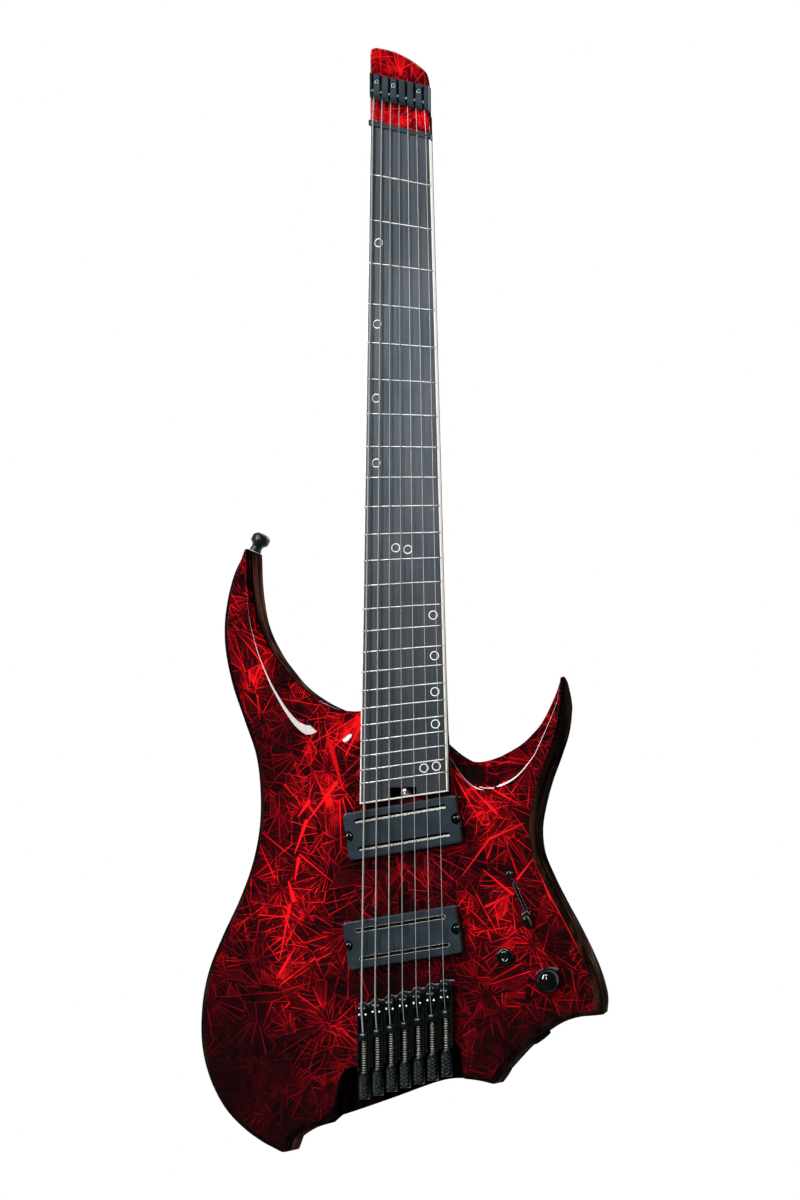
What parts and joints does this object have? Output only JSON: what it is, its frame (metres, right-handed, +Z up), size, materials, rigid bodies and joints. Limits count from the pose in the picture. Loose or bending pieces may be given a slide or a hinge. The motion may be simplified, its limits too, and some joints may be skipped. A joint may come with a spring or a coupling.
{
  "type": "electric guitar",
  "caption": "Headless electric guitar with fanned frets, carved horned body in a red crystal-pattern finish, separate bridge units with tuner knobs, and a clamped head.",
  "frame": {"origin": "on the flat back of the body, on the centre line, level with the middle string's saddle", "axes": "+Z up along the neck to the head, +X to the treble side, -Y out of the front towards the player's view, +Y out of the back"},
  "size_m": [0.3078, 0.0726, 0.8432],
  "materials": {
    "dark_wood": "dark stain under gloss clear coat",
    "red_finish": "red and black crystal pattern under gloss clear coat",
    "fretboard_wood": "satin, dark slate",
    "cream_binding": "semi-gloss cream",
    "black_metal": "satin black coating on metal",
    "bright_metal": "bright steel",
    "black_plastic": "satin black"
  },
  "bodies": {
    "guitar": {"body_core": "dark_wood", "body_top": "red_finish", "neck": "dark_wood", "fretboard": "fretboard_wood", "fretboard_binding": "cream_binding", "nut": "black_plastic", "truss_rod": "bright_metal", "head_overlay": "red_finish", "head_clamp_block": "black_metal", "neck_plate": "black_metal", "neck_pickup_cover": "black_plastic", "neck_pickup_coils": "black_plastic", "bridge_pickup_cover": "black_plastic", "bridge_pickup_coils": "black_plastic", "bridge_base_1": "black_metal", "bridge_base_2": "black_metal", "bridge_base_3": "black_metal", "bridge_base_4": "black_metal", "bridge_base_5": "black_metal", "bridge_base_6": "black_metal", "bridge_base_7": "black_metal", "saddle_1": "black_metal", "saddle_2": "black_metal", "saddle_3": "black_metal", "saddle_4": "black_metal", "saddle_5": "black_metal", "saddle_6": "black_metal", "saddle_7": "black_metal", "string_1": "bright_metal", "string_2": "bright_metal", "string_3": "bright_metal", "string_4": "bright_metal", "string_5": "bright_metal", "string_6": "bright_metal", "string_7": "bright_metal", "switch_body": "bright_metal", "volume_pot": "bright_metal", "push_switch": "black_metal", "output_jack": "black_metal", "control_cover": "black_plastic", "strap_button_upper": "black_metal", "strap_button_lower": "black_metal"},
    "puller_1": {"puller_1": "bright_metal"},
    "puller_2": {"puller_2": "bright_metal"},
    "puller_3": {"puller_3": "bright_metal"},
    "puller_4": {"puller_4": "bright_metal"},
    "puller_5": {"puller_5": "bright_metal"},
    "puller_6": {"puller_6": "bright_metal"},
    "puller_7": {"puller_7": "bright_metal"},
    "tuner_knob_1": {"tuner_knob_1": "black_metal"},
    "tuner_knob_2": {"tuner_knob_2": "black_metal"},
    "tuner_knob_3": {"tuner_knob_3": "black_metal"},
    "tuner_knob_4": {"tuner_knob_4": "black_metal"},
    "tuner_knob_5": {"tuner_knob_5": "black_metal"},
    "tuner_knob_6": {"tuner_knob_6": "black_metal"},
    "tuner_knob_7": {"tuner_knob_7": "black_metal"},
    "switch_lever": {"switch_lever": "black_plastic"},
    "volume_knob": {"volume_knob": "black_plastic"},
    "push_button": {"push_button": "black_plastic"},
    "truss_wheel": {"truss_wheel": "bright_metal"}
  },
  "joints": [
    {"name": "tuner_turn_1", "type": "hinge", "parent": "guitar", "child": "tuner_knob_1", "pos_m": [-0.0315, -0.0462, -0.0533], "axis": [0, 0, 1], "range_deg": [-2570, 4110]},
    {"name": "tuner_turn_2", "type": "hinge", "parent": "guitar", "child": "tuner_knob_2", "pos_m": [-0.021, -0.0462, -0.05048], "axis": [0, 0, 1], "range_deg": [-2570, 4110]},
    {"name": "tuner_turn_3", "type": "hinge", "parent": "guitar", "child": "tuner_knob_3", "pos_m": [-0.0105, -0.0462, -0.04766], "axis": [0, 0, 1], "range_deg": [-2570, 4110]},
    {"name": "tuner_turn_4", "type": "hinge", "parent": "guitar", "child": "tuner_knob_4", "pos_m": [0, -0.0462, -0.04484], "axis": [0, 0, 1], "range_deg": [-2570, 4110]},
    {"name": "tuner_turn_5", "type": "hinge", "parent": "guitar", "child": "tuner_knob_5", "pos_m": [0.0105, -0.0462, -0.04202], "axis": [0, 0, 1], "range_deg": [-2570, 4110]},
    {"name": "tuner_turn_6", "type": "hinge", "parent": "guitar", "child": "tuner_knob_6", "pos_m": [0.021, -0.0462, -0.0392], "axis": [0, 0, 1], "range_deg": [-2570, 4110]},
    {"name": "tuner_turn_7", "type": "hinge", "parent": "guitar", "child": "tuner_knob_7", "pos_m": [0.0315, -0.0462, -0.03638], "axis": [0, 0, 1], "range_deg": [-2570, 4110]},
    {"name": "pull_1", "type": "slide", "parent": "guitar", "child": "puller_1", "axis": [0, 0, 1], "range_m": [-0.008, 0.005], "deforming": ["string_1"]},
    {"name": "pull_2", "type": "slide", "parent": "guitar", "child": "puller_2", "axis": [0, 0, 1], "range_m": [-0.008, 0.005], "deforming": ["string_2"]},
    {"name": "pull_3", "type": "slide", "parent": "guitar", "child": "puller_3", "axis": [0, 0, 1], "range_m": [-0.008, 0.005], "deforming": ["string_3"]},
    {"name": "pull_4", "type": "slide", "parent": "guitar", "child": "puller_4", "axis": [0, 0, 1], "range_m": [-0.008, 0.005], "deforming": ["string_4"]},
    {"name": "pull_5", "type": "slide", "parent": "guitar", "child": "puller_5", "axis": [0, 0, 1], "range_m": [-0.008, 0.005], "deforming": ["string_5"]},
    {"name": "pull_6", "type": "slide", "parent": "guitar", "child": "puller_6", "axis": [0, 0, 1], "range_m": [-0.008, 0.005], "deforming": ["string_6"]},
    {"name": "pull_7", "type": "slide", "parent": "guitar", "child": "puller_7", "axis": [0, 0, 1], "range_m": [-0.008, 0.005], "deforming": ["string_7"]},
    {"name": "switch_throw", "type": "hinge", "parent": "guitar", "child": "switch_lever", "pos_m": [0.0875, -0.016, 0.0733], "axis": [-0.9136, 0, -0.4067], "range_deg": [0, 52]},
    {"name": "volume_turn", "type": "hinge", "parent": "guitar", "child": "volume_knob", "pos_m": [0.1085, -0.0405, 0.0143], "axis": [0, -1, 0], "range_deg": [-150, 150]},
    {"name": "button_press", "type": "slide", "parent": "guitar", "child": "push_button", "axis": [0, 1, 0], "range_m": [0, 0.0015], "stiffness_N_per_m": 500, "springref_m": -0.002},
    {"name": "truss_turn", "type": "hinge", "parent": "guitar", "child": "truss_wheel", "pos_m": [0, -0.0394, 0.1518], "axis": [0, 0, 1], "range_deg": [-360, 360]}
  ],
  "couplings": [
    {"joint": "pull_1", "follows": "tuner_turn_1", "m_per_rad": -0.00011141},
    {"joint": "pull_2", "follows": "tuner_turn_2", "m_per_rad": -0.00011141},
    {"joint": "pull_3", "follows": "tuner_turn_3", "m_per_rad": -0.00011141},
    {"joint": "pull_4", "follows": "tuner_turn_4", "m_per_rad": -0.00011141},
    {"joint": "pull_5", "follows": "tuner_turn_5", "m_per_rad": -0.00011141},
    {"joint": "pull_6", "follows": "tuner_turn_6", "m_per_rad": -0.00011141},
    {"joint": "pull_7", "follows": "tuner_turn_7", "m_per_rad": -0.00011141}
  ]
}
